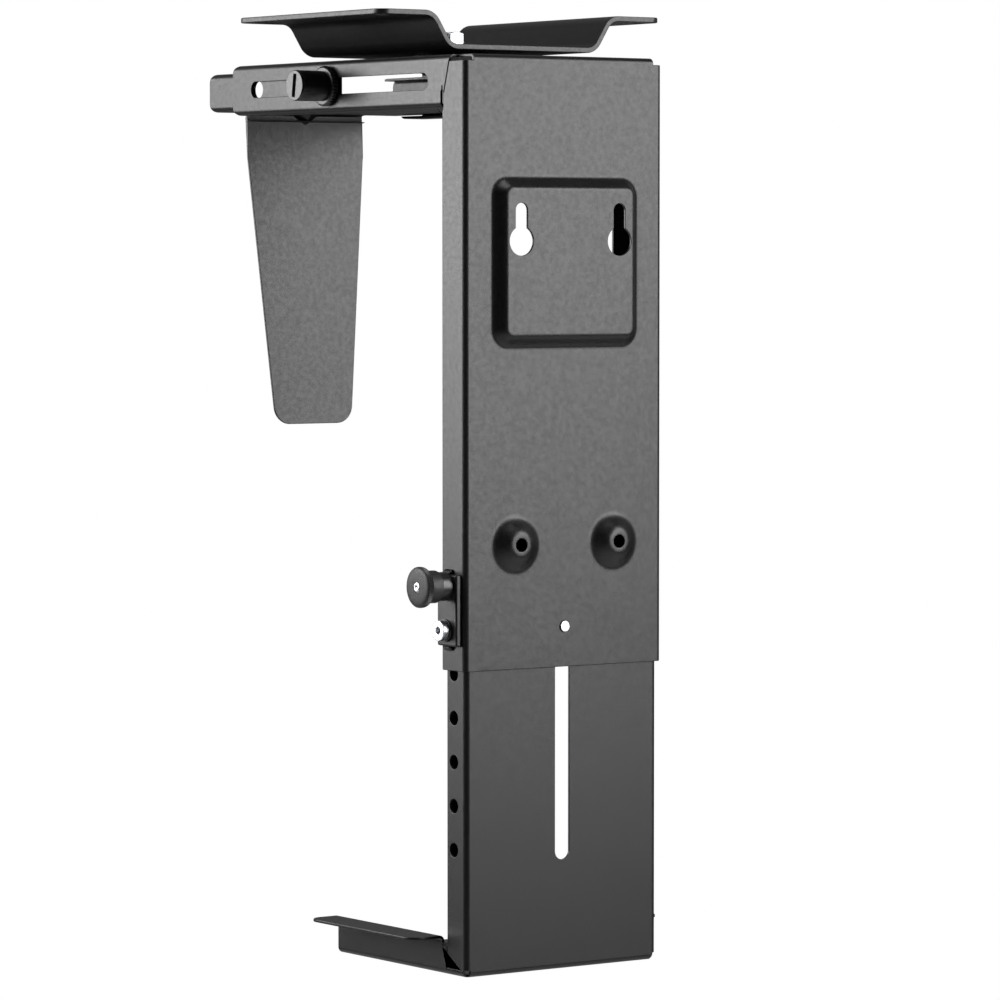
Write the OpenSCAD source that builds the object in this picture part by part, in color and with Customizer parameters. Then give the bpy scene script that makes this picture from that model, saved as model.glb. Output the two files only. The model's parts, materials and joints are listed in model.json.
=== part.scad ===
// Under-desk holder for a computer case: a formed steel frame that hangs from a swivelling
// desk plate, with a height-adjustable foot and a width-adjustable clamp.
// Millimetres. The origin is on the desk face of the desk plate, on the swivel axis.
// +Z points up into the desk, +Y runs along the arm away from the upright panel.

/* [Sheet metal] */
// Thickness of the frame, foot and clamp sheets
sheet_t = 1.3; // [1.1:0.1:1.5]
// Outside radius of the bends in those sheets
bend_r = 2.6; // [2.2:0.1:3.2]
// Outside radius of the return bends at the flanges' edges
return_r = 1.5; // [1.5:0.1:1.8]
// Gap between the upright panel and the foot plate that slides in it
slide_gap = 0.25; // [0.2:0.05:0.4]

/* [Desk plate] */
// Width across the two screw flanges
plate_w = 160; // [150:1:200]
// Length along the arm
plate_l = 120; // [110:1:160]
// Thickness of the desk plate
plate_t = 2.5; // [2:0.1:3]
// Depth from the desk face to the underside of the web
plate_drop = 17.5; // [17:0.5:24]
// Width of one screw flange
plate_flange_w = 25.5; // [22:0.5:32]
// Middle radius of the plate's bends
plate_bend_r = 8; // [6:0.5:8]
// Slope of the step between flange and web, in degrees from level
plate_slope = 58; // [50:1:70]
// Radius of the plate's four corners
plate_corner_r = 6; // [3:0.5:10]
// Distance between the desk screws across the plate
desk_screw_x = 140; // [134:1:150]
// Distance between the desk screws along the plate
desk_screw_y = 96; // [70:1:100]
// Width of a desk screw slot
desk_slot_w = 6.5; // [4.5:0.1:8]
// End-to-end length of a desk screw slot
desk_slot_l = 14; // [9:0.5:16]

/* [Swivel] */
// Distance from the swivel axis to the panel's outer face
pivot_reach = 92; // [85:1:100]
// Diameter of the pivot bolt
pivot_d = 8; // [7:0.5:9]
// Radial clearance of the pivot bolt in the arm
pivot_fit = 0.05; // [0.03:0.01:0.1]
// Diameter of the swivel washer between plate and arm
swivel_d = 34; // [26:1:40]
// Thickness of the swivel washer
swivel_t = 3.2; // [2:0.1:5]
// Diameter of the plain washers on the pivot bolt
pivot_washer_d = 18; // [16:0.5:22]
// Thickness of those washers
pivot_washer_t = 2; // [1.5:0.1:3]
// Width across flats of the pivot bolt's head and nut
pivot_af = 13; // [12:0.5:15]
// Height of the pivot bolt's head
pivot_head_h = 6.1; // [4:0.1:7]
// Height of the pivot nut
pivot_nut_h = 6.5; // [5:0.5:8]
// Length of thread that shows under the nut
pivot_end = 2.3; // [1:0.1:3]

/* [Upright panel] */
// Width of the frame
frame_w = 111; // [100:1:130]
// Height from the panel's lower edge to the top of the arm
frame_h = 278; // [260:1:340]
// Depth of the panel's side flanges
frame_d = 18.6; // [17:0.1:22]
// Width of the panel's inward returns, which hold the foot plate
frame_return = 15; // [10:0.5:20]
// Width of the relief notch at each top corner
notch_w = 5; // [4:0.5:8]
// Depth of that notch
notch_h = 3; // [3:0.1:5]

/* [Arm] */
// Length of the arm from the panel's outer face
arm_l = 194; // [185:1:230]
// Height of the arm
arm_h = 23.8; // [22:0.1:30]
// Width of the arm's inward lips
arm_lip = 14.5; // [8:0.5:16]
// Radius of the flange corners at the arm's end
arm_corner_r = 4.5; // [2:0.5:7]
// Width of the slot for the thumb screw
arm_slot_w = 7.6; // [7:0.1:9]
// Distance from the panel's outer face to the slot's near end
arm_slot_start = 29.4; // [26:0.2:34]
// Distance from the arm's end to the slot's far end
arm_slot_end = 16.3; // [12:0.5:24]
// Height of the slot's middle above the arm's lower face
arm_slot_up = 12; // [11:0.1:14]

/* [Wall mounting pad] */
// Width of the raised pad at its foot
pad_w = 81; // [76:1:88]
// Height of the raised pad at its foot
pad_h = 77; // [70:1:90]
// How far the pad and the dimples stand out of the panel
pad_rise = 5; // [3:0.5:6]
// Run of the pad's sloping sides
pad_run = 4.6; // [3:0.2:6]
// Radius of the pad's outline corners
pad_corner_r = 8; // [6:0.5:10]
// Distance from the top of the arm to the pad
pad_below = 55; // [48:1:70]
// Distance between the keyholes, and between the dimples
wall_spacing = 55; // [48:0.5:58]
// Diameter of a keyhole's entry
key_d = 13.2; // [11:0.2:14]
// Width of a keyhole's slot
key_slot_w = 6.5; // [4.5:0.1:7.5]
// Distance from a keyhole's entry up to its seat
key_rise = 14; // [11:0.5:18]
// Distance from the pad's upper edge to the keyhole entries
key_below = 29; // [26:0.5:40]
// Diameter of a dimple at its foot
dimple_d = 26; // [22:0.5:28]
// Diameter of a dimple's flat top
dimple_top_d = 11.5; // [10:0.5:14]
// Diameter of the screw hole in a dimple
dimple_hole_d = 6; // [4:0.2:7]
// Height of the dimples above the panel's lower edge
dimple_up = 56.6; // [50:0.2:70]

/* [Foot plate] */
// Height of the foot plate's upright
foot_plate_h = 297; // [280:1:300]
// Distance from the panel's lower edge down to the foot
foot_below = 139; // [125:1:150]
// Depth of the foot plate's side flanges
foot_flange_d = 15.5; // [15:0.1:15.5]
// Width of the foot plate's inward returns
foot_return = 8; // [5:0.5:12]
// Length of the foot from the panel's outer face
foot_l = 106; // [90:1:130]
// Height of the foot's side walls
foot_h = 17.5; // [14:0.5:22]
// Width of the foot's outward lips
foot_lip = 17; // [12:0.5:22]
// Corner radius of those lips
foot_lip_r = 7; // [2:0.5:7]
// Distance from the upright's side flanges to the foot's lips
foot_step = 4; // [2:0.2:5]
// Height of the foot's side walls where they meet the upright
foot_root_h = 13.2; // [9:0.2:16]
// Width of the seam between the upright's side flanges and the foot's walls
foot_seam = 0.4; // [0.2:0.1:1]
// Diameter of the height holes
height_hole_d = 6.4; // [6.2:0.1:7]
// Distance between neighbouring height holes
height_pitch = 20; // [15:1:20]
// Number of height holes in each side
height_holes = 12; // [10:1:12]
// Distance from the panel's outer face to the row of height holes
height_hole_y = 11; // [10:0.1:12]
// Number of pitches from the lowest hole up to the locking pin
height_index = 6; // [5:1:7]
// Width of the guide slot
guide_slot_w = 8; // [7.6:0.1:9]
// Distance the foot plate can go each way before the guide screw meets the slot's end
guide_travel = 103; // [100:1:104]

/* [Guide screw] */
// Diameter of the guide screw
guide_d = 5.2; // [4:0.1:6]
// Height of the guide screw above the panel's lower edge
guide_up = 18.4; // [15:0.1:24]
// How far the guide screw's end stands out of the panel
guide_proud = 0.8; // [0.2:0.1:1.2]
// Diameter of the guide screw's head
guide_head_d = 9.5; // [8:0.1:12]
// Height of that head
guide_head_h = 3.2; // [2:0.1:4]
// Diameter of the guide washer
guide_washer_d = 16; // [12:0.5:20]
// Thickness of the guide washer
guide_washer_t = 1.5; // [1:0.1:2]

/* [Clamp slider] */
// Distance from the panel's outer face to the slider's inner end
slider_start = 103; // [101:1:106]
// Distance from the panel's outer face to the slider's outer end
slider_end = 217; // [206:1:240]
// Height of the slider's channel
slider_h = 18.3; // [17:0.1:18.3]
// Width of the slider's inward lips
slider_lip = 8; // [5:0.5:11]
// Running gap beside the slider
slider_gap = 0.1; // [0.1:0.05:0.3]
// Gap under the slider while the thumb screw holds it
slider_lift = 0.8; // [0.3:0.1:1]
// Radius of the flange corners at the slider's end
slider_corner_r = 4.5; // [2:0.5:7]
// Width of the tongue at its root
tongue_w = 67; // [56:1:80]
// Width of the tongue at its tip
tongue_tip_w = 44; // [36:1:50]
// Length of the tongue below the arm's lower face
tongue_l = 150; // [110:1:190]
// Length of the tongue's parallel root
tongue_root = 20; // [12:1:30]
// Lean of the tongue towards the panel, in degrees
tongue_lean = 3; // [0:0.5:5]
// Radius of the tongue's lower corners
tongue_corner_r = 9; // [4:0.5:14]
// Size of the stiffening gusset at the tongue's root
gusset = 5.5; // [3:0.5:8]
// Half width of that gusset
gusset_half = 8; // [5:0.5:12]
// Distance from the thumb screw to the spare hole
spare_hole_at = 62.5; // [50:0.5:64]
// Diameter of the spare hole
spare_hole_d = 8; // [6:0.2:9]

/* [Thumb screw] */
// Distance from the panel's outer face to the thumb screw
thumb_y = 111; // [110:0.5:112]
// Diameter of the thumb screw's thread
thumb_thread_d = 6; // [5:0.5:6.5]
// Diameter of the thumb screw's knurled head
thumb_d = 14; // [12:0.5:18]
// Length of the knurled head
thumb_l = 15.4; // [8:0.2:20]
// Diameter of the washer under the head
thumb_washer_d = 19; // [16:0.5:22]
// Thickness of that washer
thumb_washer_t = 3.4; // [2:0.2:5]
// Width of the driver slot
thumb_slot_w = 2.3; // [1:0.1:3]
// Length of the driver slot
thumb_slot_l = 10.4; // [8:0.2:12]
// Depth of the driver slot
thumb_slot_d = 2.6; // [1:0.1:4]
// Thickness of the nut behind the slider's flange
thumb_nut_t = 1.6; // [1.2:0.1:3]
// Width across flats of that nut
thumb_nut_af = 8.6; // [8:0.1:10]

/* [Lock plate] */
// Width of the lock plate
lock_w = 15; // [13:0.1:15]
// Height of the lock plate
lock_h = 32.5; // [30:0.5:40]
// Thickness of the lock plate
lock_t = 3; // [2:0.5:5]
// Distance from the locking pin up to the plate's upper edge
lock_top = 5.4; // [3:0.2:8]
// Radius of the weld beads above and below the plate
weld_r = 2.2; // [1:0.1:3]

/* [Locking pin] */
// Height of the locking pin above the guide screw
pin_over_guide = 20; // [18:0.5:24]
// Distance from the locking pin down to the lock screw
lock_spacing = 20; // [17:0.5:22]
// Diameter of the locking pin
pin_d = 6; // [5:0.1:6]
// Radial clearance of the pin in its housing
pin_fit = 0.05; // [0.03:0.01:0.1]
// Travel of the pin from parked to locked
pin_travel = 5; // [4:0.5:5]
// Diameter of the housing's thread
housing_thread_d = 9.5; // [9.2:0.1:9.8]
// Diameter of the housing's neck
housing_neck_d = 13.1; // [12.6:0.1:14]
// Length of the housing's neck
housing_neck_l = 8; // [7.5:0.5:8.5]
// Diameter of the spring chamber
chamber_d = 8; // [7.6:0.1:8.2]
// Diameter of the pin's tail
tail_d = 4.9; // [4:0.1:5]
// Diameter of the knob's hub
hub_d = 14.8; // [14:0.1:16]
// Diameter of the knob's knurled rim
knob_d = 18.6; // [17:0.1:24]
// Thickness of the knob's rim
knob_rim_t = 4.2; // [3:0.2:6]
// Length of the knob's hub behind the rim
hub_l = 6.2; // [6:0.2:7]
// Wire diameter of the spring
spring_wire = 0.5; // [0.4:0.05:0.6]
// Number of turns in the spring
spring_turns = 3; // [3:1:4]

/* [Lock screw] */
// Diameter of the lock screw's thread
lock_screw_d = 5; // [4:0.5:5.5]
// Diameter of the lock screw's head
lock_head_d = 9.4; // [8:0.1:11]
// Height of that head
lock_head_h = 2.4; // [2:0.1:5]
// Diameter of its spring washer
lock_spring_d = 8.8; // [7.5:0.1:10]
// Thickness of the spring washer
lock_spring_t = 1; // [0.6:0.1:1.6]
// Diameter of the flat washer
lock_washer_d = 10.4; // [9:0.1:12]
// Thickness of the flat washer
lock_washer_t = 0.8; // [0.5:0.1:1.5]
// Width across flats of its socket
lock_socket_af = 2.5; // [2:0.1:4]

/* [Hidden] */
$fn = 64;
paint = "#26282a";
zinc = "#c9ccd0";
rubbed_black = "#18191a";

screw_fit = 0.05;       // radial clearance of a screw in a plain hole
cut = 1;                // how far a cutting body runs past a face
wedge_reach = 4;        // a bend's wedge runs to this many radii
bend_steps = 12;        // flats along each bend of the desk plate
corner_steps = 10;      // flats along each corner of the tongue

// Heights
web_top = plate_t - plate_drop;
arm_top = -plate_drop - swivel_t;
arm_under = arm_top - arm_h;
frame_low = arm_top - frame_h;
foot_low = frame_low - foot_below;
foot_plate_top = foot_low + foot_plate_h;
guide_z = frame_low + guide_up;
pad_top = arm_top - pad_below;
key_z = pad_top - key_below;
dimple_z = frame_low + dimple_up;
slider_low = arm_under + sheet_t + slider_lift;
thumb_z = arm_under + arm_slot_up;
pin_z = guide_z + pin_over_guide;
lock_screw_z = pin_z - lock_spacing;
first_hole_z = pin_z - height_index * height_pitch;

// Distances along the arm, and the panel's side
panel_y = -pivot_reach;
foot_y = panel_y + sheet_t + slide_gap;
hole_y = panel_y + height_hole_y;
foot_w = frame_w - 2 * (sheet_t + slide_gap);
slider_w = frame_w - 2 * (sheet_t + slider_gap);
side_x = -frame_w / 2;
lock_x = side_x - lock_t;
arm_root = 18.2;
slit_w = 0.5;
slit_top_y = arm_root - 6.2;
slit_low_y = arm_root + 0.1;
relief_d = 2.2;
relief_h = 9;
return_gap = 4;         // from the arm's lower face down to the panel's returns
root_h = 14;

// ---------------------------------------------------------------- shared shapes

// Extrudes an outline drawn in X and Z from y0 to y1.
module along_y(y0, y1) {
    translate([0, y1, 0]) rotate([90, 0, 0]) linear_extrude(y1 - y0) children();
}

// Extrudes an outline drawn in Y and Z from x0 to x1.
module along_x(x0, x1) {
    translate([x0, 0, 0]) rotate([90, 0, 90]) linear_extrude(x1 - x0) children();
}

// A round bar or cutter along X, from x0 to x1.
module bar_x(x0, x1, y, z, d) {
    translate([x0, y, z]) rotate([0, 90, 0]) cylinder(h = x1 - x0, d = d);
}

// A round bar or cutter along Y, from y0 to y1.
module bar_y(y0, y1, x, z, d) {
    translate([x, y0, z]) rotate([-90, 0, 0]) cylinder(h = y1 - y0, d = d);
}

// A stretch of bent sheet: part of a ring between two angles.
module bend_2d(r_mid, t, a0, a1) {
    reach = wedge_reach * r_mid;
    intersection() {
        difference() {
            circle(r_mid + t / 2);
            circle(r_mid - t / 2);
        }
        polygon([[0, 0], for (a = [a0, (a0 + a1) / 2, a1]) reach * [cos(a), sin(a)]]);
    }
}

// A rectangle that stands on the X axis, with four round corners.
module round_rect_2d(w, h, r) {
    translate([-w / 2 + r, 0]) square([w - 2 * r, h]);
    translate([-w / 2, r]) square([w, h - 2 * r]);
    for (x = [-1, 1], y = [r, h - r]) translate([x * (w / 2 - r), y]) circle(r);
}

// The same with round corners only at its foot.
module round_foot_2d(w, h, r) {
    translate([-w / 2 + r, 0]) square([w - 2 * r, h]);
    translate([-w / 2, r]) square([w, h - r]);
    for (x = [-1, 1]) translate([x * (w / 2 - r), r]) circle(r);
}

// A bent channel with its web on the X axis and its mouth towards +Y.
module channel_2d(w, d) {
    difference() {
        round_foot_2d(w, d, bend_r);
        translate([0, sheet_t]) round_foot_2d(w - 2 * sheet_t, d, bend_r - sheet_t);
    }
}

// A channel with its web on the X axis, whose mouth is narrowed by two tight returns.
module returned_2d(w, d, lip) {
    module blank(w, d, low_r, high_r) {
        translate([-w / 2, low_r]) square([w, d - low_r - high_r]);
        translate([-w / 2 + low_r, 0]) square([w - 2 * low_r, 2 * low_r]);
        translate([-w / 2 + high_r, d - 2 * high_r]) square([w - 2 * high_r, 2 * high_r]);
        for (s = [-1, 1]) {
            translate([s * (w / 2 - low_r), low_r]) circle(low_r);
            translate([s * (w / 2 - high_r), d - high_r]) circle(high_r);
        }
    }
    difference() {
        blank(w, d, bend_r, return_r);
        translate([0, sheet_t]) blank(w - 2 * sheet_t, d - 2 * sheet_t, bend_r - sheet_t,
            return_r - sheet_t);
        translate([-w / 2 + lip, d / 2]) square([w - 2 * lip, d]);
    }
}

// A channel whose mouth, on the X axis, is narrowed by two lips.
module lipped_2d(w, h, lip) {
    difference() {
        round_rect_2d(w, h, bend_r);
        translate([0, sheet_t])
            round_rect_2d(w - 2 * sheet_t, h - 2 * sheet_t, bend_r - sheet_t);
        translate([-w / 2 + lip, -cut]) square([w - 2 * lip, sheet_t + 2 * cut]);
    }
}

// A sheet bent once, with legs a along +X and b along +Y from its outer corner.
module angle_2d(a, b) {
    module blank(la, lb, r) {
        translate([r, 0]) square([la - r, lb]);
        translate([0, r]) square([la, lb - r]);
        translate([r, r]) circle(r);
    }
    difference() {
        blank(a, b, bend_r);
        translate([sheet_t, sheet_t]) blank(a, b, bend_r - sheet_t);
    }
}

// A slot with round ends, its length along X.
module slot_2d(l, w) {
    square([l - w, w], center = true);
    for (s = [-1, 1]) translate([s * (l - w) / 2, 0]) circle(d = w);
}

// A plain washer along +Z from the origin.
module washer(d, hole, t) {
    difference() {
        cylinder(h = t, d = d);
        translate([0, 0, -cut]) cylinder(h = t + 2 * cut, d = hole);
    }
}

// A hexagonal prism along +Z from the origin, with its corners turned off.
module hex(af, h) {
    across = af / cos(30);
    intersection() {
        cylinder(h = h, d = across, $fn = 6);
        rotate_extrude() polygon([[0, 0], [af / 2, 0], [across / 2, af * 0.06],
            [across / 2, h - af * 0.06], [af / 2, h], [0, h]]);
    }
}

// A raised block with sloping sides on the plane y = 0, standing out towards -Y.
// It also runs `sink` behind that plane.
module pad_block(w, h, r, sink) {
    intersection() {
        translate([0, 0, -h / 2]) linear_extrude(h)
            polygon([[-w / 2, sink], [-w / 2, 0], [-w / 2 + pad_run, -pad_rise],
                [w / 2 - pad_run, -pad_rise], [w / 2, 0], [w / 2, sink]]);
        along_x(-w / 2, w / 2)
            polygon([[sink, -h / 2], [0, -h / 2], [-pad_rise, -h / 2 + pad_run],
                [-pad_rise, h / 2 - pad_run], [0, h / 2], [sink, h / 2]]);
        along_y(-pad_rise, sink) translate([0, -h / 2]) round_rect_2d(w, h, r);
    }
}

// ---------------------------------------------------------------- desk plate

// The plate's bent outline in X and Z.
module plate_2d() {
    s = plate_slope;
    r = plate_bend_r;
    h = plate_t / 2;
    rise = plate_drop - plate_t;
    flange_x = plate_w / 2 - plate_flange_w;
    slope_run = (rise - 2 * r * (1 - cos(s))) / tan(s);
    web_x = flange_x - 2 * r * sin(s) - slope_run;
    low = [web_x, web_top - h + r];
    high = [flange_x, -h - r];
    turn = [for (i = [0 : bend_steps]) i * s / bend_steps];
    back = [for (i = [0 : bend_steps]) s - i * s / bend_steps];
    half = concat([for (a = turn) low + (r - h) * [sin(a), -cos(a)]],
        [for (a = back) high + (r + h) * [-sin(a), cos(a)]],
        [[plate_w / 2, 0], [plate_w / 2, -plate_t]],
        [for (a = turn) high + (r - h) * [-sin(a), cos(a)]],
        [for (a = back) low + (r + h) * [sin(a), -cos(a)]]);
    other = [for (i = [len(half) - 1 : -1 : 0]) [-half[i][0], half[i][1]]];
    polygon(concat(half, other));
}

module desk_plate() {
    color(paint) difference() {
        intersection() {
            along_y(-plate_l / 2, plate_l / 2) plate_2d();
            translate([0, -plate_l / 2, -plate_drop - cut])
                linear_extrude(plate_drop + 2 * cut)
                    round_rect_2d(plate_w, plate_l, plate_corner_r);
        }
        for (x = [-1, 1], y = [-1, 1])
            translate([x * desk_screw_x / 2, y * desk_screw_y / 2, -plate_t - cut])
                linear_extrude(plate_t + 2 * cut) slot_2d(desk_slot_l, desk_slot_w);
        translate([0, 0, -plate_drop - cut])
            cylinder(h = plate_t + 2 * cut, d = pivot_d + 2 * pivot_fit);
    }
}

// ---------------------------------------------------------------- swivel

washer_low = arm_top - sheet_t - pivot_washer_t;
nut_low = washer_low - pivot_nut_h;

module pivot_bolt() {
    color(zinc) {
        translate([0, 0, nut_low - pivot_end])
            cylinder(h = web_top + pivot_washer_t - nut_low + pivot_end, d = pivot_d);
        translate([0, 0, web_top + pivot_washer_t]) hex(pivot_af, pivot_head_h);
    }
}

module pivot_top_washer() {
    color(zinc) translate([0, 0, web_top])
        washer(pivot_washer_d, pivot_d + 2 * pivot_fit, pivot_washer_t);
}

module swivel_washer() {
    color(rubbed_black) translate([0, 0, arm_top])
        washer(swivel_d, pivot_d + 2 * pivot_fit, swivel_t);
}

module pivot_lower_washer() {
    color(zinc) translate([0, 0, washer_low])
        washer(pivot_washer_d, pivot_d + 2 * pivot_fit, pivot_washer_t);
}

module pivot_nut() {
    color(zinc) translate([0, 0, nut_low]) difference() {
        hex(pivot_af, pivot_nut_h);
        translate([0, 0, -cut])
            cylinder(h = pivot_nut_h + 2 * cut, d = pivot_d + 2 * pivot_fit);
    }
}

// ---------------------------------------------------------------- upright frame and arm

// Where a sheet's inner faces lie when its outer faces slope by run over rise.
function inset(run, rise) = sheet_t * (sqrt(run * run + rise * rise) - run) / rise;

module pad_outside() {
    translate([0, panel_y, pad_top - pad_h / 2])
        pad_block(pad_w, pad_h, pad_corner_r, sheet_t / 2);
}

module pad_inside() {
    i = inset(pad_run, pad_rise);
    translate([0, panel_y + sheet_t, pad_top - pad_h / 2])
        pad_block(pad_w - 2 * i, pad_h - 2 * i, pad_corner_r - i, cut / 2);
}

module dimple_cone(foot_d, top_d, sink) {
    rotate([90, 0, 0]) {
        cylinder(h = pad_rise, d1 = foot_d, d2 = top_d);
        translate([0, 0, -sink]) cylinder(h = sink, d = foot_d);
    }
}

module dimples_outside() {
    for (x = [-1, 1]) translate([x * wall_spacing / 2, panel_y, dimple_z])
        dimple_cone(dimple_d, dimple_top_d, sheet_t / 2);
}

module dimples_inside() {
    i = 2 * inset((dimple_d - dimple_top_d) / 2, pad_rise);
    for (x = [-1, 1]) translate([x * wall_spacing / 2, panel_y + sheet_t, dimple_z])
        dimple_cone(dimple_d - i, dimple_top_d - i, cut / 2);
}

// The wall fixings: two keyholes in the pad and one screw hole in each dimple.
module wall_holes() {
    for (x = [-1, 1] * wall_spacing / 2) {
        y0 = panel_y - pad_rise - cut;
        y1 = panel_y + sheet_t + cut;
        bar_y(y0, y1, x, key_z, key_d);
        bar_y(y0, y1, x, key_z + key_rise, key_slot_w);
        translate([x - key_slot_w / 2, y0, key_z]) cube([key_slot_w, y1 - y0, key_rise]);
        bar_y(y0, y1, x, dimple_z, dimple_hole_d);
    }
}

// The slit and the relief hole that part the panel's side flange from the arm's.
module root_slits() {
    slope = (slit_top_y - slit_low_y) / (arm_h - bend_r);
    y0 = slit_low_y - cut * slope;
    y1 = slit_low_y + (arm_h + cut) * slope;
    for (m = [0, 1]) mirror([m, 0, 0])
        along_x(side_x - cut, side_x + notch_w) translate([panel_y, 0]) {
            polygon([[y0, arm_under - cut], [y0 + slit_w, arm_under - cut],
                [y1 + slit_w, arm_top + cut], [y1, arm_top + cut]]);
            translate([arm_root - 0.2, arm_under + relief_h / 2 - relief_d / 2]) rotate(90)
                slot_2d(relief_h, relief_d);
        }
}

// Rounds the flanges' corners at the free end of a channel that runs along Y.
module end_rounding(y1, low, high, r) {
    along_x(-frame_w, frame_w) for (z = [low, high]) {
        s = z == low ? 1 : -1;
        difference() {
            translate([y1 - r, z + (s > 0 ? -cut : -r)]) square([r + cut, r + cut]);
            translate([y1 - r, z + s * r]) circle(r);
        }
    }
}

module arm_slot() {
    y0 = panel_y + arm_slot_start;
    y1 = panel_y + arm_l - arm_slot_end;
    along_x(side_x - cut, side_x + sheet_t + cut) translate([(y0 + y1) / 2, thumb_z])
        slot_2d(y1 - y0, arm_slot_w);
}

module outer_frame() {
    color(paint) difference() {
        union() {
            translate([0, panel_y, frame_low]) linear_extrude(frame_h - arm_h - return_gap)
                returned_2d(frame_w, frame_d, frame_return);
            translate([0, panel_y, arm_under - return_gap])
                linear_extrude(arm_h + return_gap - notch_h)
                    channel_2d(frame_w, arm_root - 0.6);
            along_x(side_x + notch_w, -side_x - notch_w) translate([panel_y, arm_top])
                mirror([0, 1]) angle_2d(arm_root + cut, notch_h + bend_r + cut);
            along_y(panel_y + arm_root, panel_y + arm_l) translate([0, arm_under])
                lipped_2d(frame_w, arm_h, arm_lip);
            along_y(panel_y + slit_top_y + slit_w / 2, panel_y + arm_root + cut)
                translate([0, arm_top]) mirror([0, 1]) channel_2d(frame_w, root_h);
            pad_outside();
            dimples_outside();
        }
        pad_inside();
        dimples_inside();
        wall_holes();
        root_slits();
        arm_slot();
        end_rounding(panel_y + arm_l, arm_under, arm_top, arm_corner_r);
        translate([0, 0, arm_top - sheet_t - cut])
            cylinder(h = sheet_t + 2 * cut, d = pivot_d + 2 * pivot_fit);
        bar_y(panel_y - cut, panel_y + sheet_t + cut, 0, guide_z, guide_d + 2 * screw_fit);
        bar_x(side_x - cut, side_x + sheet_t + cut, hole_y, pin_z,
            housing_thread_d + 2 * screw_fit);
        bar_x(side_x - cut, side_x + sheet_t + cut, hole_y, lock_screw_z,
            lock_screw_d + 2 * screw_fit);
    }
}

// ---------------------------------------------------------------- lock plate

lock_high = pin_z + lock_top;
lock_low = lock_high - lock_h;
lock_y = panel_y + frame_d - 1;

module lock_plate() {
    color(paint) difference() {
        translate([lock_x, lock_y - lock_w, lock_low])
            cube([lock_t, lock_w, lock_h]);
        bar_x(lock_x - cut, side_x + cut, hole_y, pin_z, housing_thread_d + 2 * screw_fit);
        bar_x(lock_x - cut, side_x + cut, hole_y, lock_screw_z,
            lock_screw_d + 2 * screw_fit);
    }
}

module lock_plate_welds() {
    bead_l = 6;
    color(paint) for (up = [0, 1]) {
        z = up == 1 ? lock_high : lock_low;
        translate([0, hole_y + 1 - bead_l / 2, 0]) intersection() {
            bar_y(0, bead_l, side_x, z, 2 * weld_r);
            translate([side_x - 2 * weld_r, -cut, up == 1 ? z : z - 2 * weld_r])
                cube([2 * weld_r, bead_l + 2 * cut, 2 * weld_r]);
        }
    }
}

// ---------------------------------------------------------------- guide screw

module guide_screw() {
    head_y = foot_y + sheet_t + screw_fit + guide_washer_t;
    color(zinc) {
        bar_y(panel_y - guide_proud, head_y, 0, guide_z, guide_d);
        difference() {
            bar_y(head_y, head_y + guide_head_h, 0, guide_z, guide_head_d);
            bar_y(head_y + guide_head_h / 2, head_y + guide_head_h + cut, 0, guide_z,
                guide_d * 0.7);
        }
    }
}

module guide_washer() {
    color(zinc) translate([0, foot_y + sheet_t + screw_fit, guide_z]) rotate([-90, 0, 0])
        washer(guide_washer_d, guide_d + 2 * screw_fit, guide_washer_t);
}

// ---------------------------------------------------------------- locking pin

neck_x = lock_x - housing_neck_l;
cap_t = 1;
chamber_x0 = neck_x + cap_t;
chamber_x1 = side_x - 1.5;
collar_t = 1.2;
spring_l = (spring_turns + 1) * (spring_wire + 0.02);
collar_x = chamber_x0 + spring_l + 0.05;
pin_tip_x = side_x + sheet_t - 0.1;
knob_back_x = lock_x - pin_travel - 0.5;
knob_face_x = knob_back_x - hub_l - knob_rim_t;

module plunger_housing() {
    color(rubbed_black) difference() {
        union() {
            bar_x(neck_x, lock_x, hole_y, pin_z, housing_neck_d);
            bar_x(lock_x, side_x + sheet_t, hole_y, pin_z, housing_thread_d);
        }
        bar_x(neck_x - cut, chamber_x0 + cut, hole_y, pin_z, tail_d + 2 * pin_fit);
        bar_x(chamber_x0, chamber_x1, hole_y, pin_z, chamber_d);
        bar_x(chamber_x1 - cut, side_x + sheet_t + cut, hole_y, pin_z,
            pin_d + 2 * pin_fit);
    }
}

// The spring, pushed together as it is while the pin is parked.
module plunger_spring() {
    mid_r = (chamber_d + tail_d) / 4;
    steps = 20;
    sides = 6;
    count = spring_turns * steps;
    pitch = spring_wire + 0.02;
    rings = [for (i = [0 : count], j = [0 : sides - 1])
        let (a = 360 * i / steps, b = 360 * j / sides,
            r = mid_r + spring_wire / 2 * cos(b))
        [pitch * (i / steps + 0.5) + spring_wire / 2 * sin(b), r * cos(a), r * sin(a)]];
    walls = [for (i = [0 : count - 1], j = [0 : sides - 1])
        let (k = (j + 1) % sides)
        [i * sides + j, i * sides + k, (i + 1) * sides + k, (i + 1) * sides + j]];
    caps = [[for (j = [sides - 1 : -1 : 0]) j],
        [for (j = [0 : sides - 1]) count * sides + j]];
    color(zinc) translate([chamber_x0, hole_y, pin_z])
        polyhedron(points = rings, faces = concat(walls, caps));
}

module plunger_pin() {
    color(zinc) {
        bar_x(knob_face_x, collar_x + collar_t / 2, hole_y, pin_z, tail_d);
        bar_x(collar_x, collar_x + collar_t, hole_y, pin_z, chamber_d - 2 * pin_fit);
        bar_x(collar_x, pin_tip_x, hole_y, pin_z, pin_d);
    }
}

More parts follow.
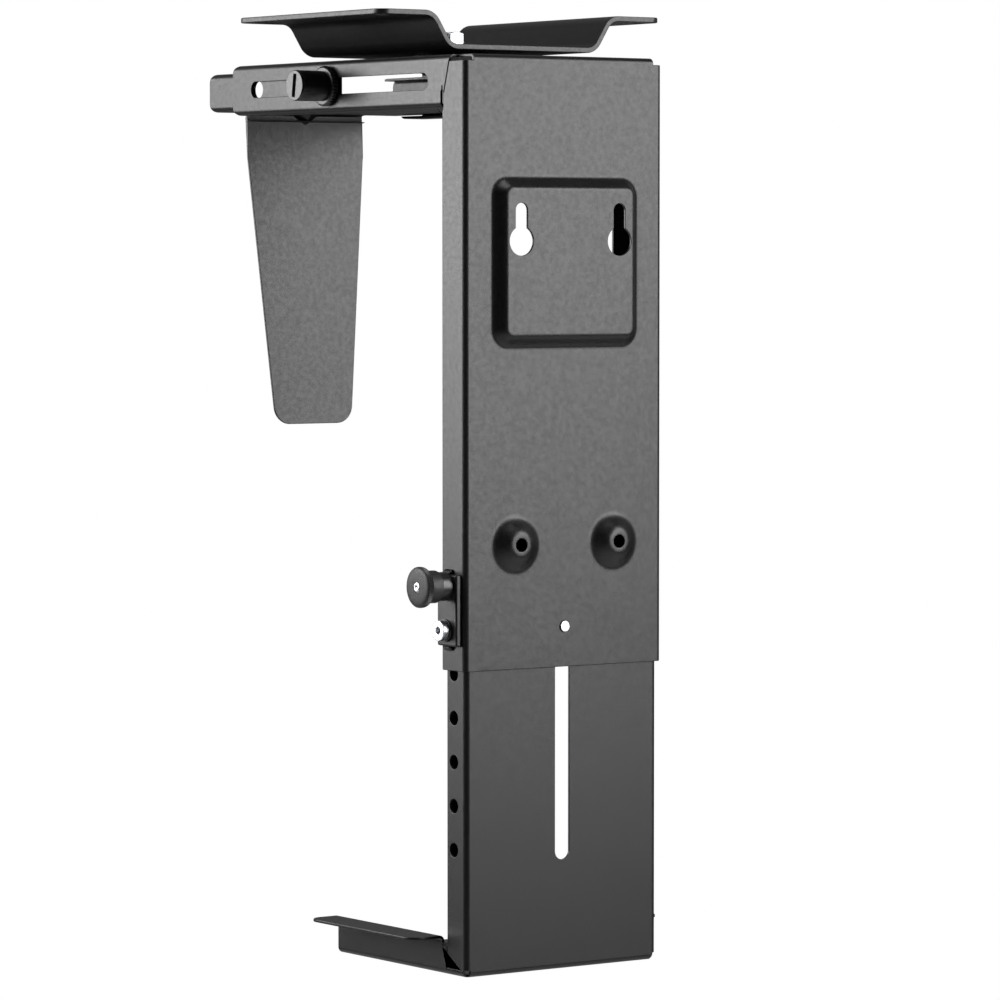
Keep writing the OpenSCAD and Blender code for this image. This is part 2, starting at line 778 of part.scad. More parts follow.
module plunger_knob() {
    hub_back = knob_back_x;
    rim_back = knob_face_x + knob_rim_t;
    bore_in = neck_x - pin_travel - 0.4;
    color(rubbed_black) difference() {
        union() {
            bar_x(knob_face_x, rim_back, hole_y, pin_z, knob_d);
            bar_x(knob_face_x, hub_back, hole_y, pin_z, hub_d);
        }
        bar_x(min(bore_in + pin_travel, hub_back - 1) - pin_travel, hub_back + cut,
            hole_y, pin_z, housing_neck_d + 2 * screw_fit);
        bar_x(knob_face_x - cut, hub_back, hole_y, pin_z, tail_d + 2 * screw_fit);
    }
}

// ---------------------------------------------------------------- lock screw

lock_stack = lock_washer_t + lock_spring_t;

module lock_screw() {
    head_x = lock_x - lock_stack;
    color(zinc) difference() {
        union() {
            bar_x(head_x - lock_head_h, head_x, hole_y, lock_screw_z, lock_head_d);
            bar_x(head_x - 0.5, pin_tip_x, hole_y, lock_screw_z, lock_screw_d);
        }
        translate([head_x - lock_head_h - cut, hole_y, lock_screw_z]) rotate([0, 90, 0])
            cylinder(h = cut + lock_head_h * 0.7, d = lock_socket_af / cos(30), $fn = 6);
    }
}

module lock_spring_washer() {
    color(zinc) translate([lock_x - lock_stack, hole_y, lock_screw_z]) rotate([0, 90, 0])
        difference() {
            washer(lock_spring_d, lock_screw_d + 2 * screw_fit, lock_spring_t);
            translate([0, 0, -cut]) rotate(35)
                translate([0, -0.3, 0]) cube([lock_spring_d, 0.6, lock_spring_t + 2 * cut]);
        }
}

module lock_flat_washer() {
    color(rubbed_black) translate([lock_x - lock_washer_t, hole_y, lock_screw_z])
        rotate([0, 90, 0])
            washer(lock_washer_d, lock_screw_d + 2 * screw_fit, lock_washer_t);
}

// ---------------------------------------------------------------- foot plate

module foot_section_2d() {
    inner_r = bend_r - sheet_t;
    channel_2d(foot_w, foot_h - bend_r);
    for (m = [0, 1]) mirror([m, 0]) {
        translate([foot_w / 2 + inner_r, foot_h - bend_r])
            bend_2d(inner_r + sheet_t / 2, sheet_t, 90, 180);
        translate([foot_w / 2 + inner_r, foot_h - sheet_t])
            square([foot_lip - inner_r, sheet_t]);
    }
}

module height_holes_cut() {
    for (i = [0 : height_holes - 1])
        bar_x(-foot_w, foot_w, hole_y, first_hole_z + i * height_pitch, height_hole_d);
}

module foot_plate() {
    side_y = foot_y + foot_flange_d - 0.8;
    wall_y = side_y + foot_seam;
    lip_y = side_y + foot_step;
    end_y = panel_y + foot_l;
    strip_h = bend_r + 0.2;
    flange_low = foot_low + strip_h + foot_seam;
    return_low = foot_low + foot_root_h + 1;
    corner = 2.6;
    guide_l = 2 * guide_travel + guide_slot_w;
    color(paint) difference() {
        union() {
            translate([0, foot_y, return_low])
                linear_extrude(foot_plate_h - return_low + foot_low)
                    returned_2d(foot_w, foot_flange_d, foot_return);
            translate([0, foot_y, flange_low]) linear_extrude(return_low - flange_low)
                channel_2d(foot_w, foot_flange_d - 0.8);
            along_x(-foot_w / 2 + corner, foot_w / 2 - corner)
                translate([foot_y, foot_low]) angle_2d(wall_y - foot_y + cut, 2 * bend_r);
            along_y(foot_y + bend_r, wall_y + cut) translate([0, foot_low])
                channel_2d(foot_w, strip_h);
            along_y(wall_y, lip_y + foot_lip_r) translate([0, foot_low])
                channel_2d(foot_w, foot_root_h);
            intersection() {
                along_y(lip_y, end_y) translate([0, foot_low]) foot_section_2d();
                translate([0, lip_y, foot_low - cut]) linear_extrude(foot_h + 2 * cut)
                    round_rect_2d(foot_w + 2 * foot_lip, end_y - lip_y, foot_lip_r);
            }
        }
        along_y(foot_y - cut, foot_y + sheet_t + cut) translate([0, guide_z]) rotate(90)
            slot_2d(guide_l, guide_slot_w);
        height_holes_cut();
    }
}

// ---------------------------------------------------------------- clamp slider

// The tongue's outline in X and Z, hanging from the origin.
module tongue_2d() {
    r = tongue_corner_r;
    taper = atan((tongue_w - tongue_tip_w) / 2 / (tongue_l - tongue_root));
    cx = tongue_tip_w / 2 + r * tan(taper) - r / cos(taper);
    corner = [for (i = [0 : corner_steps])
        let (a = taper + i * (90 - taper) / corner_steps)
        [cx + r * cos(a), r - tongue_l - r * sin(a)]];
    for (m = [0, 1]) mirror([m, 0])
        polygon([[-cut, bend_r], [tongue_w / 2, bend_r], [tongue_w / 2, -tongue_root],
            for (c = corner) c, [-cut, -tongue_l]]);
}

module clamp_slider() {
    start_y = panel_y + slider_start;
    end_y = panel_y + slider_end;
    depth = gusset / sqrt(2);
    color(paint) difference() {
        union() {
            difference() {
                along_y(start_y, end_y - bend_r) translate([0, slider_low + slider_h])
                    mirror([0, 1]) lipped_2d(slider_w, slider_h, slider_lip);
                end_rounding(end_y, slider_low, slider_low + slider_h, slider_corner_r);
            }
            difference() {
                for (m = [0, 1]) mirror([m, 0, 0])
                    translate([-slider_w / 2, end_y - bend_r - cut, slider_low])
                        intersection() {
                            along_x(0, sheet_t) square([bend_r + cut, slider_h]);
                            along_y(0, bend_r + cut) translate([slider_w / 2, slider_h])
                                mirror([0, 1]) lipped_2d(slider_w, slider_h, slider_lip);
                        }
                end_rounding(end_y, slider_low, slider_low + slider_h, slider_corner_r);
            }
            along_x(-tongue_w / 2, tongue_w / 2) translate([end_y, slider_low + sheet_t])
                mirror([1, 0]) mirror([0, 1]) angle_2d(2 * bend_r, bend_r + sheet_t / 2);
            translate([0, end_y, slider_low + sheet_t - bend_r])
                rotate([-tongue_lean, 0, 0]) along_y(-sheet_t, 0)
                    intersection() {
                        tongue_2d();
                        translate([-tongue_w, -2 * tongue_l]) square(2 * [tongue_w, tongue_l]);
                    }
            translate([0, end_y - sheet_t, slider_low]) rotate([45, 0, 0])
                translate([0, -depth, -gusset]) linear_extrude(2 * gusset)
                    polygon([[0, 0], [gusset_half, depth], [-gusset_half, depth]]);
        }
        bar_x(side_x - cut, nut_x + cut, panel_y + thumb_y, thumb_z,
            thumb_thread_d + 2 * screw_fit);
        bar_x(side_x - cut, nut_x + cut, panel_y + thumb_y + spare_hole_at, thumb_z,
            spare_hole_d);
    }
}

// ---------------------------------------------------------------- thumb screw

thumb_y_row = panel_y + thumb_y;
nut_x = side_x + slider_gap + 2 * sheet_t;
thumb_washer_x = side_x - slider_gap - thumb_washer_t;

module thumb_nut() {
    color(zinc) translate([nut_x, thumb_y_row, thumb_z]) rotate([0, 90, 0]) difference() {
        hex(thumb_nut_af, thumb_nut_t);
        translate([0, 0, -cut])
            cylinder(h = thumb_nut_t + 2 * cut, d = thumb_thread_d + 2 * screw_fit);
    }
}

module thumb_screw() {
    face_x = thumb_washer_x - thumb_l;
    color(rubbed_black) difference() {
        union() {
            bar_x(face_x, thumb_washer_x, thumb_y_row, thumb_z, thumb_d);
            bar_x(thumb_washer_x - cut, nut_x + thumb_nut_t + 0.4, thumb_y_row, thumb_z,
                thumb_thread_d);
        }
        translate([face_x - cut, thumb_y_row, thumb_z]) rotate([8, 0, 0])
            translate([0, -thumb_slot_w / 2, -thumb_slot_l / 2])
                cube([thumb_slot_d + cut, thumb_slot_w, thumb_slot_l]);
    }
}

module thumb_screw_washer() {
    color(rubbed_black) translate([thumb_washer_x, thumb_y_row, thumb_z])
        rotate([0, 90, 0])
            washer(thumb_washer_d, thumb_thread_d + 2 * screw_fit, thumb_washer_t);
}

// ---------------------------------------------------------------- what is drawn

desk_plate();
pivot_bolt();
pivot_top_washer();
swivel_washer();
pivot_lower_washer();
pivot_nut();
outer_frame();
lock_plate();
lock_plate_welds();
guide_screw();
guide_washer();
plunger_housing();
plunger_spring();
plunger_pin();
plunger_knob();
lock_screw();
lock_spring_washer();
lock_flat_washer();
foot_plate();
clamp_slider();
thumb_nut();
thumb_screw();
thumb_screw_washer();
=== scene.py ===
"""Holder for a computer case: powder-coated steel sheets, zinc screws and a black locking knob."""
import json
import math

import bmesh
import bpy
from mathutils import Matrix, Vector
from mathutils.bvhtree import BVHTree


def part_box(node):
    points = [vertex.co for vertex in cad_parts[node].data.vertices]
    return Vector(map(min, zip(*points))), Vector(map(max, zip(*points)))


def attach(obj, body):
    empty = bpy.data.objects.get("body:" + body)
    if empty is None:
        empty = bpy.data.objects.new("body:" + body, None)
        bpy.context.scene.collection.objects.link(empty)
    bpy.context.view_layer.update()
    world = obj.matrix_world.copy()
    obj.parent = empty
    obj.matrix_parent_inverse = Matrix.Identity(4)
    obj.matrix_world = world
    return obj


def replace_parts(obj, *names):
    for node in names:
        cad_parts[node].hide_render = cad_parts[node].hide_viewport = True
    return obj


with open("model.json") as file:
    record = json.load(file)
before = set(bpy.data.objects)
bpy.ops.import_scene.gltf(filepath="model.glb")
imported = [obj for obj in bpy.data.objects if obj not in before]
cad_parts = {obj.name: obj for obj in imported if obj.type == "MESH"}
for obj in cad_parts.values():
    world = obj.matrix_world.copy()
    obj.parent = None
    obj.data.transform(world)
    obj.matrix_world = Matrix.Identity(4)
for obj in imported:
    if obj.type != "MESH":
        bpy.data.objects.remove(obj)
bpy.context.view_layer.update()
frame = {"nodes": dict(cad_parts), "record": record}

MM = 0.001
NODES = frame["nodes"]
BODY_OF = {n: b for b, ns in frame["record"]["behaviour"]["bodies"].items() for n in ns}
SLOT_OF = {s["node"]: s["material_slot"] for s in frame["record"]["subparts"]}
RANGE_SOCKETS = ("From Min", "From Max", "To Min", "To Max")


# ------------------------------------------------------------------ finishes

class Finish:
    """A material under construction: its node tree and its Principled shader."""

    SOCKETS = {"base": "Base Color", "rough": "Roughness", "metal": "Metallic",
               "normal": "Normal", "specular": "Specular IOR Level"}

    def __init__(self, name):
        self.material = bpy.data.materials.new(name)
        self.material.use_nodes = True
        self.tree = self.material.node_tree
        self.shader = self.tree.nodes["Principled BSDF"]
        self.place = self.tree.nodes.new("ShaderNodeTexCoord").outputs["Object"]

    def node(self, kind, **settings):
        made = self.tree.nodes.new("ShaderNode" + kind)
        for key, value in settings.items():
            setattr(made, key, value)
        return made

    def link(self, a, b):
        self.tree.links.new(a, b)

    def grain(self, per_metre, detail=2.0, rough=0.5, stretch=None):
        """Noise with so many grains to a metre, from 0 to 1."""
        noise = self.node("TexNoise")
        noise.inputs["Scale"].default_value = per_metre
        noise.inputs["Detail"].default_value = detail
        noise.inputs["Roughness"].default_value = rough
        place = self.place
        if stretch:
            turn = self.node("Mapping")
            turn.inputs["Scale"].default_value = stretch
            self.link(place, turn.inputs["Vector"])
            place = turn.outputs["Vector"]
        self.link(place, noise.inputs["Vector"])
        return noise.outputs["Fac"]

    def spread(self, source, low, high, start=0.3, end=0.7):
        """The source's range from start to end, laid out between low and high."""
        ranged = self.node("MapRange")
        for key, value in zip(RANGE_SOCKETS, (start, end, low, high)):
            ranged.inputs[key].default_value = value
        self.link(source, ranged.inputs["Value"])
        return ranged.outputs["Result"]

    def blend(self, source, first, second):
        """A colour between first and second."""
        mix = self.node("Mix", data_type="RGBA")
        mix.inputs[6].default_value = (*first, 1)
        mix.inputs[7].default_value = (*second, 1)
        self.link(source, mix.inputs[0])
        return mix.outputs[2]

    def relief(self, source, depth, strength):
        """Bumps of the given depth in metres."""
        bump = self.node("Bump")
        bump.inputs["Distance"].default_value = depth
        bump.inputs["Strength"].default_value = strength
        self.link(source, bump.inputs["Height"])
        return bump.outputs["Normal"]

    def set(self, **values):
        """Gives each named shader socket a constant, or the end of a chain of nodes."""
        for key, value in values.items():
            socket = self.shader.inputs[self.SOCKETS[key]]
            if isinstance(value, bpy.types.NodeSocket):
                self.link(value, socket)
            else:
                socket.default_value = value


def powder_coat():
    f = Finish("powder_coat")
    peel = f.relief(f.grain(1500), 0.00004, 0.5)
    f.set(base=f.blend(f.spread(f.grain(60, 3.0), 0, 1), (0.0026, 0.0026, 0.0028),
                       (0.0042, 0.0042, 0.0045)),
          rough=f.spread(f.grain(450, 3.0), 0.34, 0.42), normal=peel, specular=0.5)
    return f.material


def bright_zinc():
    f = Finish("bright_zinc")
    brushed = f.relief(f.grain(2600, 3.0, 0.6, (1, 1, 0.25)), 0.00002, 0.35)
    f.set(base=f.blend(f.spread(f.grain(400, 4.0), 0, 1), (0.42, 0.43, 0.45),
                       (0.55, 0.56, 0.58)),
          rough=f.spread(f.grain(900, 3.0), 0.24, 0.40), metal=1.0, normal=brushed)
    return f.material


def black_oxide():
    f = Finish("black_oxide")
    f.set(base=f.blend(f.spread(f.grain(700, 3.0), 0, 1), (0.006, 0.006, 0.007),
                       (0.014, 0.014, 0.015)),
          rough=f.spread(f.grain(1200), 0.28, 0.40), specular=0.6,
          normal=f.relief(f.grain(2200), 0.00002, 0.4))
    return f.material


def black_nylon():
    f = Finish("black_nylon")
    f.set(base=f.blend(f.spread(f.grain(900, 4.0), 0, 1), (0.008, 0.008, 0.009),
                       (0.020, 0.020, 0.021)),
          rough=f.spread(f.grain(1500), 0.42, 0.58), specular=0.5,
          normal=f.relief(f.grain(2400, 3.0), 0.00006, 0.7))
    return f.material


FINISHES = {"powder_coat": powder_coat(), "zinc_bright": bright_zinc(),
            "black_oxide": black_oxide(), "black_nylon": black_nylon()}
for name, obj in NODES.items():
    obj.data.materials.clear()
    obj.data.materials.append(FINISHES[SLOT_OF[name]])


# ------------------------------------------------------------------ shaping helpers
# Lengths are in millimetres, apart from those read off the frame's boxes and meshes.

WELD = 0.002 * MM               # points closer than this are one
FLAT = math.radians(0.6)        # faces within this angle are one flat face
SHARP = math.radians(33)        # edges over this angle are sharp
KNURL_SHARP = math.radians(28)
FINE_SHARP = math.radians(20)
STRAY = 0.5                     # share of its width that a rounding may leave the surface


def copied(node):
    """A welded copy of a node's mesh, with its flat faces joined."""
    bm = bmesh.new()
    bm.from_mesh(NODES[node].data)
    bmesh.ops.remove_doubles(bm, verts=bm.verts, dist=WELD)
    bmesh.ops.dissolve_limit(bm, angle_limit=FLAT, verts=bm.verts, edges=bm.edges)
    return bm


def round_edges(bm, width, segments=2):
    """Rolls over the sharp edges, and pulls any stray point back to the surface."""
    edges = [e for e in bm.edges
             if len(e.link_faces) == 2 and e.calc_face_angle(0) > SHARP]
    surface = BVHTree.FromBMesh(bm)
    bmesh.ops.bevel(bm, geom=edges, offset=width * MM, offset_type="OFFSET",
                    segments=segments, affect="EDGES", profile=0.5, material=-1,
                    clamp_overlap=False)
    for v in bm.verts:
        place, _, _, away = surface.find_nearest(v.co)
        if away > STRAY * width * MM:
            v.co = place
    bmesh.ops.dissolve_degenerate(bm, edges=bm.edges, dist=WELD)
    return bm


def finished(name, bm, node, sharp=SHARP):
    """Makes the object, with the body and the finish of the node that it belongs to."""
    mesh = bpy.data.meshes.new(name)
    bm.to_mesh(mesh)
    bm.free()
    mesh.shade_smooth()
    mesh.set_sharp_from_angle(angle=sharp)
    mesh.materials.append(FINISHES[SLOT_OF[node]])
    obj = bpy.data.objects.new(name, mesh)
    bpy.context.scene.collection.objects.link(obj)
    weighted = obj.modifiers.new("weighted_normals", "WEIGHTED_NORMAL")
    weighted.keep_sharp = True
    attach(obj, BODY_OF[node])
    return obj


def stand_in(name, bm, node, sharp=SHARP):
    """Makes the object, and hides the node that it stands for."""
    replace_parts(finished(name, bm, node, sharp), node)


def axis_of(node):
    """Where a turned node's axis along X runs, and where the node starts and ends."""
    low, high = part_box(node)
    return (low[1] + high[1]) / 2, (low[2] + high[2]) / 2, low[0], high[0]


def turned(profile, start, y, z, steps):
    """Spins a profile, of distance from start and radius, about the axis along X.

    A profile that doesn't begin on the axis is closed into a ring."""
    bm = bmesh.new()
    points = [bm.verts.new((start + x * MM, y + r * MM, z)) for x, r in profile]
    edges = [bm.edges.new(pair) for pair in zip(points, points[1:])]
    if profile[0][1] > 0:
        edges.append(bm.edges.new((points[-1], points[0])))
    bmesh.ops.spin(bm, geom=points + edges, cent=(0, y, z), axis=(1, 0, 0),
                   angle=2 * math.pi, steps=steps, use_merge=True)
    bmesh.ops.remove_doubles(bm, verts=bm.verts, dist=WELD)
    bmesh.ops.recalc_face_normals(bm, faces=bm.faces)
    return bm


def knurl(bm, y, z, x0, x1, least, teeth, depth):
    """Draws in grooves between the teeth of a turned grip, outside the radius least."""
    for v in bm.verts:
        r = math.hypot(v.co.y - y, v.co.z - z)
        if x0 <= v.co.x <= x1 and r > least * MM:
            turn = math.atan2(v.co.z - z, v.co.y - y) * teeth / (2 * math.pi)
            groove = abs(2 * (turn % 1) - 1)
            scale = 1 - groove * depth * MM / r
            v.co.y = y + (v.co.y - y) * scale
            v.co.z = z + (v.co.z - z) * scale
    return bm


# ------------------------------------------------------------------ frame with pressed pad

SHEET = 1.3                     # thickness of the frame's sheet
PRESS_RISE = 5.0                # how far the pad and the dimples stand out
FRAME_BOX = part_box("outer_frame")
PANEL_Y = FRAME_BOX[0][1] / MM + PRESS_RISE
FRAME_LOW = FRAME_BOX[0][2] / MM
ARM_TOP = FRAME_BOX[1][2] / MM
PAD_BELOW = 55                  # from the arm's top down to the pad
PAD_HALF = (40.5, 38.5)
PAD_Z = ARM_TOP - PAD_BELOW - PAD_HALF[1]
PAD_CORNER = 8.5
PAD_SLOPE = (-0.5, 5.6)         # from the outline inwards, where the slope starts and ends
PAD_BAND = 12.0                 # width of the finely cut band along the pad's border
PAD_MARGIN = 2.4                # how far the finely cut area runs past the outline
DIMPLE_X, DIMPLE_Z = 27.5, FRAME_LOW + 56.6
DIMPLE_SLOPE = (13.4, 4.6)      # radii where the slope starts and ends
DIMPLE_AREA = 15
CUT_PITCH = 0.9
REACH = 0.01                    # slack in telling what lies in an area
FRAME_EDGE = 0.3


def step_up(d, low, high):
    """Rises softly from 0 at low to 1 at high."""
    u = min(max((d - low) / (high - low), 0), 1)
    return u * u * (3 - 2 * u)


def press_height(x, z):
    """How far the pressing tool pushed the panel out."""
    qx = abs(x) - PAD_HALF[0] + PAD_CORNER
    qz = abs(z - PAD_Z) - PAD_HALF[1] + PAD_CORNER
    inside = PAD_CORNER - math.hypot(max(qx, 0), max(qz, 0)) - min(max(qx, qz), 0)
    away = math.hypot(abs(x) - DIMPLE_X, z - DIMPLE_Z)
    return PRESS_RISE * max(step_up(inside, *PAD_SLOPE),
                            step_up(-away, -DIMPLE_SLOPE[0], -DIMPLE_SLOPE[1]))


def pressed_areas():
    """Middle, half sizes and width of the finely cut band of each pressed area."""
    yield (0, PAD_Z, PAD_HALF[0] + PAD_MARGIN, PAD_HALF[1] + PAD_MARGIN, PAD_BAND)
    for side in (-1, 1):
        yield (side * DIMPLE_X, DIMPLE_Z, DIMPLE_AREA, DIMPLE_AREA, DIMPLE_AREA)


def cut_lines(half, band):
    """Places of cuts across an area, close together in a band along its border."""
    count = math.ceil(band / CUT_PITCH)
    lines = {round(half - i * band / count, 4) for i in range(count + 1)}
    return sorted(lines | {-v for v in lines})


def in_panel(v):
    return v.co.y < (PANEL_Y + SHEET + 2 * REACH) * MM


def within(v, x, z, half_x, half_z):
    return (abs(v.co.x - x * MM) < half_x * MM and abs(v.co.z - z * MM) < half_z * MM
            and in_panel(v))


def area_faces(bm, x, z, half_x, half_z):
    return [f for f in bm.faces
            if all(within(v, x, z, half_x + REACH, half_z + REACH) for v in f.verts)]


def slice_faces(bm, faces, axis, at):
    """Cuts the faces by the plane across the axis, 0 for X or 2 for Z."""
    geom = list({e for f in faces for e in f.edges} | {v for f in faces for v in f.verts})
    place = [0, 0, 0]
    place[axis] = at * MM
    bmesh.ops.bisect_plane(bm, geom=geom + faces, dist=1e-7, plane_co=place,
                           plane_no=(axis == 0, 0, axis == 2))


def refill(bm, y, normal):
    """Takes out every face in a plane across Y, and fills it again as one flat face."""
    flat = [f for f in bm.faces if all(abs(v.co.y - y) < WELD for v in f.verts)]
    bmesh.ops.delete(bm, geom=flat, context="FACES_ONLY")
    loose = [e for e in bm.edges if not e.link_faces]
    bmesh.ops.delete(bm, geom=loose, context="EDGES")
    rim = [e for e in bm.edges if len(e.link_faces) == 1
           and all(abs(v.co.y - y) < WELD for v in e.verts)]
    bmesh.ops.triangle_fill(bm, use_beauty=True, edges=rim, normal=normal)
    bmesh.ops.delete(bm, geom=[v for v in bm.verts if not v.link_edges], context="VERTS")


def pressed_frame():
    """The frame's sheet: laid flat, rounded at its edges, and pressed out softly."""
    bm = copied("outer_frame")
    bm.normal_update()
    for x, z, half_x, half_z, _ in pressed_areas():
        for v in bm.verts:
            if within(v, x, z, half_x, half_z):
                v.co.y = (PANEL_Y if v.normal.y < 0 else PANEL_Y + SHEET) * MM
    for depth, way in ((0, -1), (SHEET, 1)):
        refill(bm, (PANEL_Y + depth) * MM, (0, way, 0))
    bmesh.ops.remove_doubles(bm, verts=bm.verts, dist=WELD)
    bmesh.ops.dissolve_limit(bm, angle_limit=FLAT, verts=bm.verts, edges=bm.edges)
    round_edges(bm, FRAME_EDGE)
    for x, z, half_x, half_z, band in pressed_areas():
        spans = ((0, x, half_x), (2, z, half_z))
        for axis, at, half in spans:
            for edge in (-half, half):
                panel = [f for f in bm.faces if all(in_panel(v) for v in f.verts)]
                slice_faces(bm, panel, axis, at + edge)
        for axis, at, half in spans:
            for line in cut_lines(half, min(band, half)):
                slice_faces(bm, area_faces(bm, x, z, half_x, half_z), axis, at + line)
    for v in bm.verts:
        if in_panel(v):
            v.co.y -= press_height(v.co.x / MM, v.co.z / MM) * MM
    return bm


stand_in("frame_sheet", pressed_frame(), "outer_frame")

# Nodes whose shape is right, with the radius that rounds their edges
EDGES = {"foot_plate": 0.3, "clamp_slider": 0.3, "desk_plate": 0.5, "lock_plate": 0.8,
         "lock_plate_welds": 0.9, "pivot_bolt": 0.25, "pivot_top_washer": 0.3,
         "swivel_washer": 0.6, "pivot_lower_washer": 0.3, "pivot_nut": 0.25,
         "guide_screw": 0.5, "guide_washer": 0.25, "plunger_housing": 0.35,
         "lock_spring_washer": 0.12, "lock_flat_washer": 0.2, "thumb_nut": 0.2}
for node, width in EDGES.items():
    stand_in(node + "_softened", round_edges(copied(node), width), node)


# ------------------------------------------------------------------ knob and screws
# Profiles run from the outer face towards the frame.

y, z, start, _ = axis_of("plunger_knob")
knob = turned([(0.02, 2.5), (0.02, 4.0), (0.08, 6.0), (0.22, 7.6), (0.45, 8.5),
               (0.75, 8.95), (1.1, 9.2), (1.5, 9.3), (2.2, 9.3), (3.0, 9.25),
               (3.8, 8.95), (4.15, 8.5), (4.2, 8.0), (4.2, 7.6), (4.35, 7.45),
               (4.6, 7.4), (9.7, 7.4), (10.1, 7.3), (10.36, 7.0), (10.4, 6.62),
               (2.5, 6.62), (2.5, 2.5)], start, y, z, steps=192)
knurl(knob, y, z, start + 1.45 * MM, start + 4.19 * MM, least=7.8, teeth=48, depth=0.75)
stand_in("knob_grip", knob, "plunger_knob", KNURL_SHARP)

y, z, start, end = axis_of("plunger_pin")
length = (end - start) / MM
pin = turned([(0.25, 0), (0.22, 0.35), (0.0, 0.8), (-0.1, 1.2), (-0.1, 1.7), (-0.02, 2.2),
              (0.15, 2.42), (0.4, 2.45), (11.03, 2.45), (11.03, 3.8), (11.15, 3.93),
              (12.1, 3.93), (12.23, 3.8), (12.23, 3.0), (length - 0.5, 3.0),
              (length, 2.5), (length, 0)], start, y, z, steps=48)
stand_in("locking_pin", pin, "plunger_pin")

SOCKET_REACH, SOCKET_DEPTH, SOCKET_SCALE = 1.6, 2.2, 1.25
y, z, start, _ = axis_of("lock_screw")
screw = copied("lock_screw")
for v in screw.verts:
    if (math.hypot(v.co.y - y, v.co.z - z) < SOCKET_REACH * MM
            and v.co.x < start + SOCKET_DEPTH * MM):
        v.co.y = y + (v.co.y - y) * SOCKET_SCALE
        v.co.z = z + (v.co.z - z) * SOCKET_SCALE
stand_in("lock_screw_head", round_edges(screw, 0.3, segments=3), "lock_screw")

y, z, start, _ = axis_of("thumb_screw")
stand_in("thumb_screw_core", round_edges(copied("thumb_screw"), 0.35), "thumb_screw")
sleeve = turned([(0.9, 6.5), (0.9, 6.8), (1.2, 7.15), (14.0, 7.15), (14.4, 6.95),
                 (14.4, 6.5)], start, y, z, steps=180)
knurl(sleeve, y, z, start + 1.5 * MM, start + 14.2 * MM, least=7.05, teeth=60, depth=0.3)
finished("thumb_screw_grip", sleeve, "thumb_screw", FINE_SHARP)

y, z, start, _ = axis_of("thumb_screw_washer")
collar = turned([(0, 3.1), (0, 8.3), (0.25, 8.8), (0.7, 9.25), (1.1, 9.45), (2.5, 9.45),
                 (2.9, 9.25), (3.3, 8.9), (3.4, 8.5), (3.4, 3.1)], start, y, z, steps=144)
knurl(collar, y, z, start + 0.6 * MM, start + 3.0 * MM, least=9.1, teeth=36, depth=0.35)
stand_in("thumb_screw_collar", collar, "thumb_screw_washer", KNURL_SHARP)


# ------------------------------------------------------------------ studio

VIEW_TURN = math.radians(35.386)
VIEW_PITCH = math.radians(-2.825)
VIEW_PLACE = (-1.3414, -1.9297, -0.1103)
GLOW = (0.0, 0.9, 0.02, 0.22)   # facing from and to, strength from and to
FLOOR_Z = -1.1
FLOOR_SIZE = 12
FLOOR_GREY = 0.7


def area_lamp(name, place, aim, size, power):
    lamp = bpy.data.lights.new(name, "AREA")
    lamp.shape = "RECTANGLE"
    lamp.size, lamp.size_y = size
    lamp.energy = power
    obj = bpy.data.objects.new(name, lamp)
    obj.location = place
    obj.rotation_mode = "QUATERNION"
    obj.rotation_quaternion = (Vector(aim) - Vector(place)).to_track_quat("-Z", "Z")
    bpy.context.scene.collection.objects.link(obj)


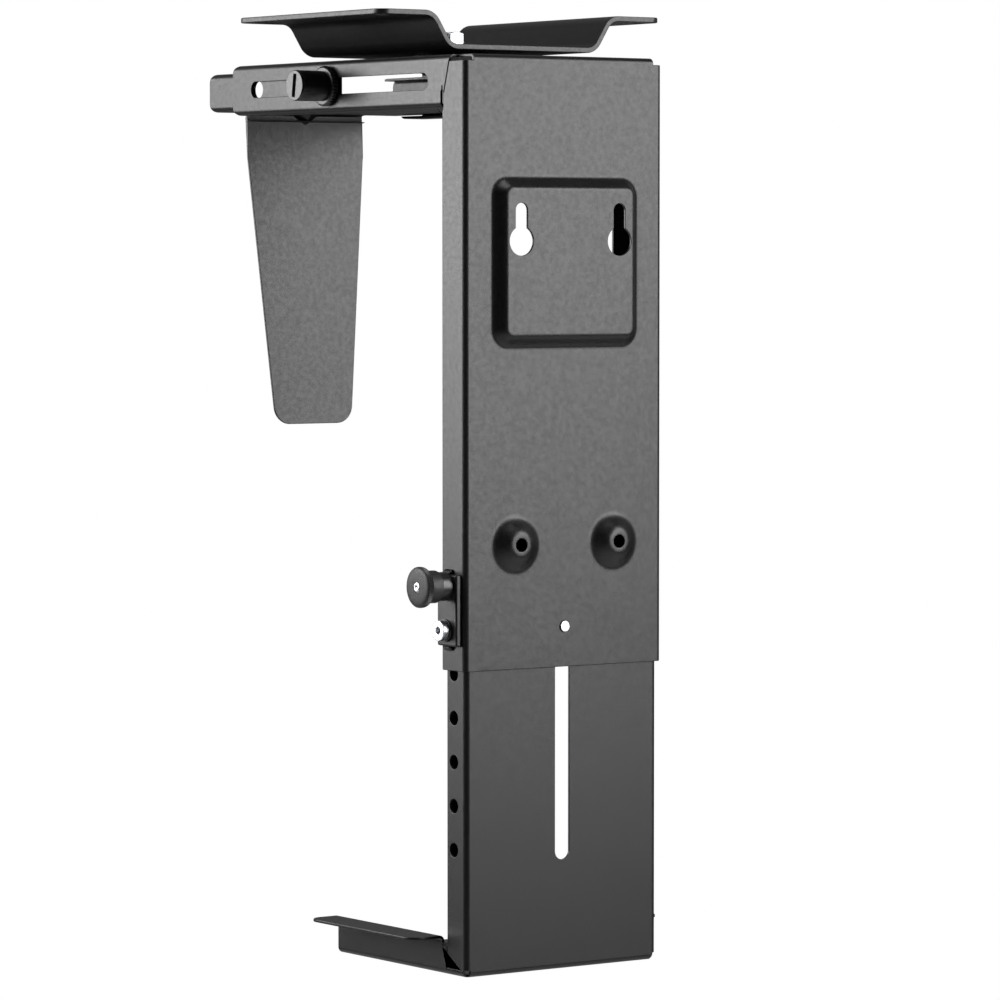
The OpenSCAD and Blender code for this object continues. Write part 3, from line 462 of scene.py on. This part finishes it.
def studio_world():
    """White behind the object, and a soft glow from the far side."""
    world = bpy.data.worlds.new("studio")
    bpy.context.scene.world = world
    world.use_nodes = True
    nodes, link = world.node_tree.nodes, world.node_tree.links.new
    background = nodes["Background"]
    background.inputs["Color"].default_value = (1, 1, 1, 1)
    facing = nodes.new("ShaderNodeVectorMath")
    facing.operation = "DOT_PRODUCT"
    facing.inputs[1].default_value = (math.sin(VIEW_TURN), math.cos(VIEW_TURN), 0)
    link(nodes.new("ShaderNodeTexCoord").outputs["Generated"], facing.inputs[0])
    glow = nodes.new("ShaderNodeMapRange")
    glow.interpolation_type = "SMOOTHSTEP"
    for key, value in zip(RANGE_SOCKETS, GLOW):
        glow.inputs[key].default_value = value
    link(facing.outputs["Value"], glow.inputs["Value"])
    level = nodes.new("ShaderNodeMix")
    level.data_type = "FLOAT"
    level.inputs[3].default_value = 1.0
    link(nodes.new("ShaderNodeLightPath").outputs["Is Camera Ray"], level.inputs[0])
    link(glow.outputs["Result"], level.inputs[2])
    link(level.outputs[0], background.inputs["Strength"])


def pale_floor():
    """A pale floor, plain white where it is seen directly."""
    material = bpy.data.materials.new("pale_floor")
    material.use_nodes = True
    nodes, link = material.node_tree.nodes, material.node_tree.links.new
    paint = nodes["Principled BSDF"]
    paint.inputs["Base Color"].default_value = (FLOOR_GREY, FLOOR_GREY, FLOOR_GREY, 1)
    paint.inputs["Roughness"].default_value = 0.9
    choice = nodes.new("ShaderNodeMixShader")
    link(nodes.new("ShaderNodeLightPath").outputs["Is Camera Ray"], choice.inputs[0])
    link(paint.outputs[0], choice.inputs[1])
    link(nodes.new("ShaderNodeEmission").outputs[0], choice.inputs[2])
    link(choice.outputs[0], nodes["Material Output"].inputs["Surface"])
    return material


camera = bpy.data.cameras.new("camera")
camera.sensor_width = 36
camera.lens = 179.84
camera_object = bpy.data.objects.new("camera", camera)
camera_object.location = VIEW_PLACE
camera_object.rotation_euler = (math.pi / 2 + VIEW_PITCH, 0, -VIEW_TURN)
bpy.context.scene.collection.objects.link(camera_object)
bpy.context.scene.camera = camera_object

area_lamp("left_back_softbox", (-1.12, 0.82, 0.16), (0, -0.03, -0.2), (0.75, 1.3), 25)
area_lamp("right_front_softbox", (0.75, -1.15, 0.14), (0, -0.05, -0.2), (0.8, 1.2), 22)
area_lamp("top_softbox", (-0.2, -0.2, 1.3), (0, 0, -0.2), (1.0, 1.0), 11)
studio_world()
bpy.context.scene.view_settings.view_transform = "Standard"

floor_mesh = bpy.data.meshes.new("floor")
bm = bmesh.new()
bmesh.ops.create_grid(bm, x_segments=1, y_segments=1, size=FLOOR_SIZE)
bm.to_mesh(floor_mesh)
bm.free()
floor_mesh.transform(Matrix.Translation((0, 0, FLOOR_Z)))
floor_mesh.materials.append(pale_floor())
floor = bpy.data.objects.new("floor", floor_mesh)
bpy.context.scene.collection.objects.link(floor)
